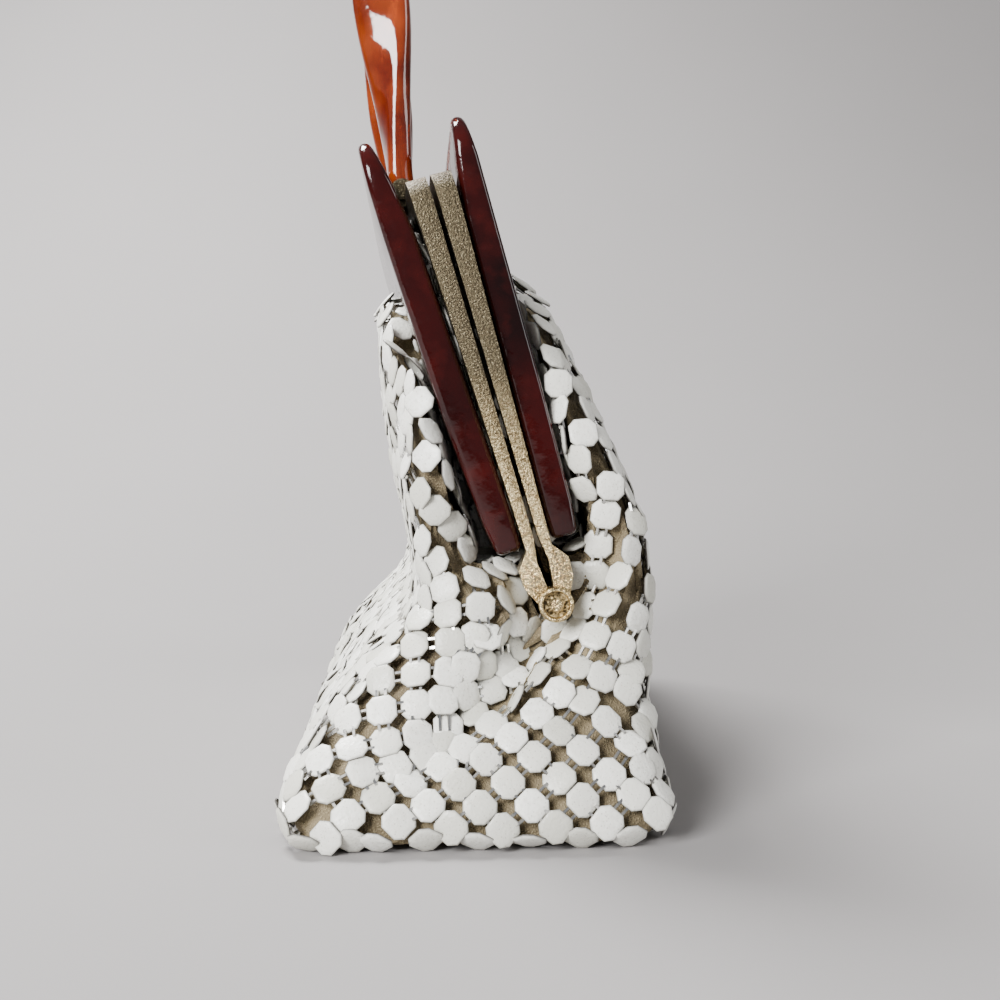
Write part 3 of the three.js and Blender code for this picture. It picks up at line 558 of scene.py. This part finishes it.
def bar_mesh():
    """The link bars as one mesh: two between each pair of plates that are side neighbours."""
    tree = kdtree.KDTree(len(plates))
    for index, plate in enumerate(plates):
        tree.insert(plate[0], index)
    tree.balance()
    points, polygons = [], []
    for index, (spot, normal, along) in enumerate(plates):
        across = normal.cross(along)
        for other_spot, other, apart in tree.find_range(spot, LINK_LONGEST):
            if other <= index or apart < LINK_SHORTEST:
                continue
            between = tree.find_n((spot + other_spot) / 2, 3)[2][2]
            if between < PLATE_ACROSS * LINK_CLEAR:
                continue
            way = (other_spot - spot) / apart
            turned = plates[other][1]
            if max(abs(way.dot(along)), abs(way.dot(across))) < LINK_SQUARE:
                continue
            if normal.dot(turned) < LINK_TURN:
                continue
            if max(abs(way.dot(normal)), abs(way.dot(turned))) > LINK_STEEP:
                continue
            up = (normal + turned).normalized()
            side = up.cross(way).normalized()
            up = way.cross(side)
            half = max(apart / 2 - BAR_UNDER, BAR_SHORTEST)
            level = (spot + other_spot) / 2 + up * (0 if normal.z < BASE_NORMAL else PLATE_LIFT)
            for face in (-1, 1):
                middle = level + side * (face * BAR_APART / 2)
                base = len(points)
                for w in (-1, 1):
                    for u in (-1, 1):
                        for f in (-1, 1):
                            points.append(
                                middle
                                + way * (w * half)
                                + up * (u * BAR_THICK / 2)
                                + side * (f * BAR_WIDTH / 2 * (1 if u < 0 else BAR_CROWN))
                            )
                for corners in (
                    (0, 1, 3, 2), (4, 6, 7, 5), (0, 4, 5, 1), (2, 3, 7, 6), (0, 2, 6, 4), (1, 5, 7, 3),
                ):
                    polygons.append(tuple(base + c for c in corners))
    mesh = bpy.data.meshes.new("link_bars")
    mesh.from_pydata([tuple(p) for p in points], [], polygons)
    mesh.update()
    shell = bmesh.new()
    shell.from_mesh(mesh)
    bmesh.ops.recalc_face_normals(shell, faces=shell.faces)
    shell.to_mesh(mesh)
    shell.free()
    return mesh


enamel_plates = bpy.data.objects.new("enamel_plates", plate_mesh())
link_bars = bpy.data.objects.new("link_bars", bar_mesh())
for piece in (enamel_plates, link_bars):
    bpy.context.collection.objects.link(piece)
    finished(piece, "purse")
only(enamel_plates)
bpy.ops.object.shade_smooth_by_angle(angle=math.radians(50))

enamel = Finish("cream enamel", (0.86, 0.85, 0.78), 0.34)
tone = enamel.attribute("tone")
rim = enamel.attribute("rim")
body_color = enamel.mix(tone, (0.60, 0.59, 0.51), (0.95, 0.945, 0.88))
rubbed = enamel.mask(MOTTLE, Scale=900.0, Low=0.45, High=0.62)
worn = enamel.mix(enamel.times(enamel.times(rubbed, tone), 0.35), body_color, (0.62, 0.60, 0.52))
# the outer rings of each plate are painted near black, a painted shade where the plates meet
worn_and_rim_shade_color = enamel.mix(rim, worn, (0.06, 0.055, 0.05))
specks = enamel.mask(SPECKLE, Scale=1300.0, Size=0.26)
enamel.feed("Base Color", enamel.mix(enamel.times(specks, 0.7), worn_and_rim_shade_color, (0.30, 0.27, 0.21)))
enamel.feed("Roughness", enamel.between(rubbed, 0.28, 0.46))
enamel.bump(enamel.mask(MOTTLE, Scale=1400.0, Low=0.3, High=0.7), 0.00012, 0.5)
enamel.put_on(enamel_plates)

bare = Finish("bare link metal", (0.72, 0.72, 0.70), 0.28, 1.0)
bare_patches = bare.mask(MOTTLE, Scale=500.0, Low=0.4, High=0.65)
bare.feed("Base Color", bare.mix(bare_patches, (0.78, 0.78, 0.76), (0.50, 0.48, 0.44)))
bare.feed("Roughness", bare.between(bare_patches, 0.2, 0.45))
bare.put_on(link_bars)
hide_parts(*MESH_NODES)

# The lining again: now that the plates are laid, the skin is sunk beneath them and given the
# thickness of cloth. In the folds it is pushed back wherever it would come too near the surface.
only(skin)
bpy.ops.object.mode_set(mode="EDIT")
bpy.ops.mesh.select_all(action="SELECT")
bpy.ops.transform.shrink_fatten(value=-LINING_SINK)
bpy.ops.object.mode_set(mode="OBJECT")
for _ in range(2):
    for vertex in skin.data.vertices:
        place, outward, _, _ = skin_tree.find_nearest(vertex.co)
        if (vertex.co - place).dot(outward) > -LINING_LEAST:
            vertex.co = place - outward * LINING_LEAST
    modified(skin, "SMOOTH", factor=0.5, iterations=2)
modified(skin, "SOLIDIFY", thickness=LINING_THICK, offset=-1)
cloth.put_on(skin)
finished(skin, "purse")
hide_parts("lining")

# The frame: two brass bars bent to an inverted U, held together by a rivet at each end. The gilt
# is bright near the hinge and turns dark further up, and is pitted all over, with bright specks
# painted on as glints, a painted highlight.
HINGE = Vector((17.2, 0, 45.7)) * MM
BAR_ROUND = 0.5 * MM

brass = Finish("worn gilt brass with painted glints", (0.62, 0.45, 0.20), 0.35, 1.0)
place = brass.nodes.new("ShaderNodeSeparateXYZ")
brass.links.new(brass.nodes.new("ShaderNodeTexCoord").outputs["Object"], place.inputs[0])
upward = brass.nodes.new("ShaderNodeMapRange")
upward.inputs["From Min"].default_value = 0.050
upward.inputs["From Max"].default_value = 0.095
upward.inputs["To Min"].default_value = 0.10
upward.inputs["To Max"].default_value = 0.95
brass.links.new(place.outputs["Z"], upward.inputs["Value"])
rubs = brass.mask(MOTTLE, Scale=1100.0, Low=0.4, High=0.6)
gilt = brass.mix(rubs, (0.80, 0.64, 0.35), (0.44, 0.31, 0.15))
# the colour turns darker further up the bars
darkening_upward = brass.mix(upward.outputs["Result"], gilt, (0.050, 0.042, 0.028))
# bright specks painted into the colour as glints: a painted highlight
painted_glints = brass.mask(SPECKLE, Scale=1900.0, Size=0.36)
painted_glint_color = brass.mix(brass.times(painted_glints, 0.4), darkening_upward, (0.66, 0.56, 0.36))
pits = brass.mask(MOTTLE, Scale=1700.0, Low=0.52, High=0.62)
brass.feed("Base Color", brass.mix(brass.times(pits, 0.6), painted_glint_color, (0.05, 0.038, 0.024)))
brass.feed("Roughness", brass.between(upward.outputs["Result"], 0.2, 0.42))
brass.bump(brass.mask(MOTTLE, Scale=2400.0, Low=0.3, High=0.7), 0.00025, 0.6)


def rounded_bar(node, name):
    """A brass piece in the shape of its solid, with its edges filed round."""
    bar = copy_of(node)
    bar.name = name
    only(bar)
    bpy.ops.object.mode_set(mode="EDIT")
    bpy.ops.mesh.select_all(action="SELECT")
    bpy.ops.mesh.remove_doubles(threshold=WELD)
    bpy.ops.mesh.dissolve_limited(angle_limit=math.radians(1))
    bpy.ops.object.mode_set(mode="OBJECT")
    modified(bar, "BEVEL", width=BAR_ROUND, segments=3, angle_limit=math.radians(28))
    brass.put_on(bar)
    finished(bar, "purse")
    bpy.ops.object.shade_smooth_by_angle(angle=math.radians(42))
    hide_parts(node)


rounded_bar("rear_frame", "rear_bar")
rounded_bar("front_frame", "front_bar")

# The clasp, a small brass catch on the front bar, hidden in the photograph, and the handle's two
# pins: plain turned brass through the rear bar's ears, which keep the shape of their solids.
rounded_bar("clasp", "catch")
for node in ("near_handle_pin", "far_handle_pin"):
    brass.put_on(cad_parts[node])

# The rivets: a turned brass stud through both eyes, its outer head a raised rim round a rough,
# hammered middle.
RIVET_HEAD = 3.75 * MM
RIVET_FACE = 90.3 * MM
RIVET_RISE = 1.3 * MM
GRIME_IN = 1.1 * MM
GRIME_OUT = 2.75 * MM
# each step of the head's face: how far in it is set, and how far out it is then moved, in mm
RIVET_STEPS = [(0.35, 0.4), (0.5, 0), (0.25, -0.9), (0.7, 0), (0.6, 0.55)]

grime = Finish("grime in the rivet", (0.10, 0.075, 0.04), 0.5, 1.0)
crumbs = grime.mask(MOTTLE, Scale=1600.0, Low=0.4, High=0.6)
grime.feed("Base Color", grime.mix(crumbs, (0.05, 0.038, 0.02), (0.60, 0.46, 0.24)))
grime.bump(crumbs, 0.0004, 0.9)


def hinge_rivet(name, end):
    """The head of a rivet at the near (-1) or far (1) end of the purse."""
    bpy.ops.object.select_all(action="DESELECT")
    bpy.ops.mesh.primitive_cylinder_add(
        vertices=40,
        radius=RIVET_HEAD,
        depth=RIVET_RISE,
        location=(HINGE.x, end * (RIVET_FACE + RIVET_RISE / 2), HINGE.z),
        rotation=(math.radians(90), 0, 0),
    )
    rivet = bpy.context.active_object
    rivet.name = name
    bpy.ops.object.transform_apply(location=True, rotation=True, scale=True)
    choose_faces(rivet, lambda centre, normal: normal.y * end > 0.9)
    for inset, moved in RIVET_STEPS:
        bpy.ops.mesh.inset(thickness=inset * MM)
        bpy.ops.transform.translate(value=(0, end * moved * MM, 0))
    bpy.ops.object.mode_set(mode="OBJECT")
    modified(rivet, "BEVEL", width=0.15 * MM, segments=2, angle_limit=math.radians(25))
    bpy.ops.object.shade_smooth_by_angle(angle=math.radians(40))
    brass.put_on(rivet)
    rivet.data.materials.append(grime.material)
    for polygon in rivet.data.polygons:
        from_axis = math.hypot(polygon.center.x - HINGE.x, polygon.center.z - HINGE.z)
        if GRIME_IN < from_axis < GRIME_OUT and polygon.normal.y * end > 0.3:
            polygon.material_index = 1
    finished(rivet, "purse")
    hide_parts(name.replace("head", "rivet"))


hinge_rivet("near_hinge_head", -1)
hinge_rivet("far_hinge_head", 1)

# The panels: dark red-brown lucite, each an inverted U sawn from thick sheet, polished and
# cemented to the outer face of its bar. Its top edge leans away from the bar.
PANEL_HALF = 88 * MM
PANEL_OPEN = 61 * MM
PANEL_LOW = 13 * MM
PANEL_TOP = 105.4 * MM
PANEL_ROOF = 77.4 * MM
PANEL_CORNER = 9 * MM
PANEL_OPEN_CORNER = 10 * MM
PANEL_EDGE = 1.3 * MM
PANEL_FACES = {
    # heights up the panel, and its inner and outer face at each, out from the bars
    "rear": [
        (13, 3.0, 8.4), (20, 2.8, 9.2), (45, 3.2, 10.3), (84, 3.8, 10.4), (95, 5.2, 10.2), (105.4, 6.9, 9.5),
    ],
    "front": [
        (13, 3.0, 8.6), (20, 2.7, 9.2), (45, 2.7, 9.3), (84, 2.7, 8.9), (95, 4.0, 8.8), (105.4, 5.5, 8.1),
    ],
}
PANEL_LEAN = {"rear": math.radians(18.1), "front": math.radians(15.0)}

tortoise = Finish("dark red lucite", (0.03, 0.003, 0.003), 0.12)
tortoise.shader.inputs["Specular IOR Level"].default_value = 0.4
clouds = tortoise.mask(MOTTLE, Scale=38.0, Low=0.35, High=0.7)
wisps = tortoise.mask(MOTTLE, Scale=160.0, Low=0.5, High=0.75)
deep = tortoise.mix(clouds, (0.006, 0.001, 0.001), (0.030, 0.002, 0.0018))
tortoise.feed("Base Color", tortoise.mix(tortoise.times(wisps, 0.25), deep, (0.09, 0.008, 0.006)))
scuffs = tortoise.mask(MOTTLE, Scale=700.0, Low=0.5, High=0.8)
tortoise.feed("Roughness", tortoise.between(scuffs, 0.08, 0.24))
tortoise.bump(tortoise.mask(MOTTLE, Scale=120.0, Low=0.3, High=0.7), 0.00025, 0.4)


def box_piece(name, low, high):
    """A block between two corners, its place in its mesh."""
    bpy.ops.object.select_all(action="DESELECT")
    middle = [(a + b) / 2 for a, b in zip(low, high)]
    bpy.ops.mesh.primitive_cube_add(size=1, location=middle, scale=[b - a for a, b in zip(low, high)])
    block = bpy.context.active_object
    block.name = name
    bpy.ops.object.transform_apply(location=True, rotation=True, scale=True)
    return block


def choose_edges(obj, test):
    """Selects only the edges whose two ends pass a test, in edit mode."""
    bpy.ops.object.mode_set(mode="EDIT")
    bpy.ops.mesh.select_mode(type="EDGE")
    bpy.ops.mesh.select_all(action="DESELECT")
    bpy.ops.object.mode_set(mode="OBJECT")
    points = obj.data.vertices
    for edge in obj.data.edges:
        edge.select = test(*[points[i].co for i in edge.vertices])
    bpy.ops.object.mode_set(mode="EDIT")


def round_corners(obj, half, height, radius):
    """Rounds the two corners of a U, whose edges run across its thickness."""
    near = 0.01 * MM
    choose_edges(
        obj,
        lambda a, b: abs(a.y - b.y) < near
        and all(abs(abs(p.y) - half) < near and abs(p.z - height) < near for p in (a, b)),
    )
    bpy.ops.mesh.bevel(offset=radius, segments=9, affect="EDGES")
    bpy.ops.object.mode_set(mode="OBJECT")


def face_outwards(obj):
    """Turns all the faces of a closed piece outwards."""
    only(obj)
    bpy.ops.object.mode_set(mode="EDIT")
    bpy.ops.mesh.select_all(action="SELECT")
    bpy.ops.mesh.normals_make_consistent(inside=False)
    bpy.ops.object.mode_set(mode="OBJECT")


def lucite_panel(which, side):
    """The panel on the rear (-1) or front (1) bar, made upright and then leant with its frame."""
    faces = [(a * MM, b * MM, c * MM) for a, b, c in PANEL_FACES[which]]
    panel = box_piece(which + "_lucite", (0, -PANEL_HALF, PANEL_LOW), (1 * MM, PANEL_HALF, PANEL_TOP))
    opening = box_piece("opening", (-1 * MM, -PANEL_OPEN, 0), (2 * MM, PANEL_OPEN, PANEL_ROOF))
    modified(panel, "BOOLEAN", operation="DIFFERENCE", object=opening, solver="EXACT")
    bpy.data.objects.remove(opening)
    round_corners(panel, PANEL_HALF, PANEL_TOP, PANEL_CORNER)
    round_corners(panel, PANEL_OPEN, PANEL_ROOF, PANEL_OPEN_CORNER)
    bpy.ops.object.mode_set(mode="EDIT")
    levels = [f[0] for f in faces]
    for level in levels[1:-1]:
        bpy.ops.mesh.select_all(action="SELECT")
        bpy.ops.mesh.bisect(plane_co=(0, 0, level), plane_no=(0, 0, 1))
    bpy.ops.object.mode_set(mode="OBJECT")
    for vertex in panel.data.vertices:
        inner = float(np.interp(vertex.co.z, levels, [f[1] for f in faces]))
        outer = float(np.interp(vertex.co.z, levels, [f[2] for f in faces]))
        vertex.co.x = side * (outer if vertex.co.x > 0.5 * MM else inner)
    face_outwards(panel)
    modified(panel, "BEVEL", width=PANEL_EDGE, segments=4, angle_limit=math.radians(40))
    panel.rotation_euler = (0, -PANEL_LEAN[which], 0)
    panel.location = HINGE
    tortoise.put_on(panel)
    finished(panel, "purse")
    bpy.ops.object.shade_smooth_by_angle(angle=math.radians(35))
    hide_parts(which + "_panel")


lucite_panel("rear", -1)
lucite_panel("front", 1)

# The handle: a flat strap of amber-red lucite, softened with heat, twisted one and a half turns
# and bent to an arch, and held on a pin at each foot. It is its section swept along its middle
# line, with no holes, because the pins fill them. Its measures are in millimetres.
STRAP_FOOT = 50
STRAP_LEG = 58
STRAP_RISE = 42
STRAP_DROP = 2.0
STRAP_STRAIGHT = 7
STRAP_THICK = 6.0
STRAP_WIDTHS = (9.6, 13.4)
STRAP_WIDEN = (14, 34)
STRAP_TURN = math.radians(540)
STRAP_STEPS = 220
STRAP_SIDES = 28
STRAP_START = math.radians(90)
SECTION_BLUNT = (0.6, 0.75)
ARCH_POINTS = 200
PIN_PLACE = (-2.1, 97.6)
HANDLE_LEAN = math.radians(6.2)


def ease(t):
    """A soft step from 0 to 1."""
    t = min(max(t, 0), 1)
    return t * t * (3 - 2 * t)


def strap_path(share):
    """A point of the strap's middle line and its direction, for a share of its length."""
    leg = STRAP_LEG + STRAP_DROP
    arch = np.linspace(math.pi, 0, ARCH_POINTS)
    points = [(-STRAP_FOOT, -STRAP_DROP)]
    points += [(STRAP_FOOT * math.cos(a), STRAP_LEG + STRAP_RISE * math.sin(a)) for a in arch]
    points += [(STRAP_FOOT, -STRAP_DROP)]
    points = np.array(points)
    runs = np.concatenate([[0], np.cumsum(np.linalg.norm(np.diff(points, axis=0), axis=1))])
    here = share * runs[-1]
    step = leg * 0.02
    at = [np.array([np.interp(here + d, runs, points[:, k]) for k in (0, 1)]) for d in (0, -step, step)]
    way = at[2] - at[1]
    return at[0], way / np.linalg.norm(way), runs[-1]


def strap_mesh():
    """The strap's rounded section, turned and widened as it goes along the middle line."""
    points, faces = [], []
    for k in range(STRAP_STEPS + 1):
        share = k / STRAP_STEPS
        (y, z), (wy, wz), length = strap_path(share)
        rise = min(share, 1 - share) * length
        width = STRAP_WIDTHS[0] + (STRAP_WIDTHS[1] - STRAP_WIDTHS[0]) * ease(
            (rise - STRAP_WIDEN[0]) / STRAP_WIDEN[1]
        )
        turned = (share * length - STRAP_STRAIGHT) / (length - 2 * STRAP_STRAIGHT)
        twist = STRAP_START - STRAP_TURN * min(max(turned, 0), 1)
        edge = np.array([0, -wz, wy])
        for c in range(STRAP_SIDES):
            angle = 2 * math.pi * c / STRAP_SIDES
            a = width / 2 * math.copysign(abs(math.cos(angle)) ** SECTION_BLUNT[0], math.cos(angle))
            b = STRAP_THICK / 2 * math.copysign(abs(math.sin(angle)) ** SECTION_BLUNT[1], math.sin(angle))
            flat = a * math.cos(twist) - b * math.sin(twist)
            high = a * math.sin(twist) + b * math.cos(twist)
            points.append((np.array([0, y, z]) + np.array([flat, 0, 0]) + edge * high) * MM)
    for k in range(STRAP_STEPS):
        for c in range(STRAP_SIDES):
            a, b = k * STRAP_SIDES + c, k * STRAP_SIDES + (c + 1) % STRAP_SIDES
            faces.append((a, b, b + STRAP_SIDES, a + STRAP_SIDES))
    faces.append(tuple(reversed(range(STRAP_SIDES))))
    faces.append(tuple(STRAP_STEPS * STRAP_SIDES + c for c in range(STRAP_SIDES)))
    mesh = bpy.data.meshes.new("strap")
    mesh.from_pydata([tuple(p) for p in points], [], faces)
    return mesh


strap = bpy.data.objects.new("amber_strap", strap_mesh())
bpy.context.collection.objects.link(strap)
face_outwards(strap)
lean = PANEL_LEAN["rear"]
strap.location = HINGE + MM * Vector((
    PIN_PLACE[0] * math.cos(lean) - PIN_PLACE[1] * math.sin(lean),
    0,
    PIN_PLACE[1] * math.cos(lean) + PIN_PLACE[0] * math.sin(lean),
))
strap.rotation_euler = (0, -HANDLE_LEAN, 0)
finished(strap, "handle")
bpy.ops.object.shade_smooth_by_angle(angle=math.radians(60))

amber = Finish("amber lucite", (0.42, 0.07, 0.008), 0.08)
amber.shader.inputs["Transmission Weight"].default_value = 0.55
amber.shader.inputs["IOR"].default_value = 1.49
amber.shader.inputs["Coat Weight"].default_value = 0.5
swirl = amber.mask(MOTTLE, Scale=70.0, Low=0.35, High=0.65)
amber.feed("Base Color", amber.mix(swirl, (0.15, 0.012, 0.003), (0.46, 0.075, 0.012)))
amber.bump(amber.mask(MOTTLE, Scale=130.0, Low=0.3, High=0.7), 0.0002, 0.4)
amber.put_on(strap)
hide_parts("handle")

# The studio: a plain pale paper floor that sweeps up behind the purse, with a soft light above
# and behind it, a wider and stronger one in front on the left, and a weak one on the right.
FLOOR_BACK = 0.95
SWEEP = 0.85
FLOOR_WIDE = 16
FLOOR_LONG = 9
WALL_HIGH = 3
paper = Finish("plain paper", (0.26, 0.25, 0.25), 0.9)
paper_tone = paper.mask(MOTTLE, Scale=3.0, Low=0.2, High=0.8)
paper.feed("Base Color", paper.mix(paper_tone, (0.262, 0.250, 0.246), (0.284, 0.271, 0.268)))
bpy.ops.object.select_all(action="DESELECT")
bpy.ops.mesh.primitive_plane_add(size=1, location=(0, 0, 0))
floor = bpy.context.active_object
floor.name = "floor"
floor.data.transform(Matrix.Diagonal((FLOOR_WIDE, FLOOR_LONG, 1, 1)))
floor.data.transform(Matrix.Translation((0, FLOOR_BACK - FLOOR_LONG / 2, 0)))


def at_floor_back(a, b):
    """Whether an edge is the floor's back edge, where the paper turns up."""
    return all(p.y > FLOOR_BACK - 0.01 and p.z < 0.01 for p in (a, b))


choose_edges(floor, at_floor_back)
bpy.ops.mesh.extrude_region_move(TRANSFORM_OT_translate={"value": (0, 0, WALL_HIGH)})
choose_edges(floor, at_floor_back)
bpy.ops.mesh.bevel(offset=SWEEP, segments=32, affect="EDGES")
bpy.ops.object.mode_set(mode="OBJECT")
bpy.ops.object.shade_smooth()
paper.put_on(floor)
LIGHT_AIM = Vector((0, -0.05, 0.08))


def soft_light(name, place, size, power):
    """A rectangular light that faces the purse."""
    lamp = bpy.data.lights.new(name, "AREA")
    lamp.shape = "RECTANGLE"
    lamp.size, lamp.size_y = size
    lamp.energy = power
    light = bpy.data.objects.new(name, lamp)
    light.location = place
    aim = LIGHT_AIM - Vector(place)
    light.rotation_euler = aim.to_track_quat("-Z", "Y").to_euler()
    bpy.context.collection.objects.link(light)


soft_light("overhead", (-0.4, 0.4, 0.95), (0.4, 0.4), 32)
soft_light("front", (-0.75, -0.95, 0.6), (0.6, 0.6), 42)
soft_light("right", (0.9, -0.35, 0.4), (0.3, 0.8), 4)
world = bpy.data.worlds.new("studio air")
world.use_nodes = True
world.node_tree.nodes["Background"].inputs["Color"].default_value = (0.85, 0.86, 0.9, 1)
world.node_tree.nodes["Background"].inputs["Strength"].default_value = 0.3
bpy.context.scene.world = world
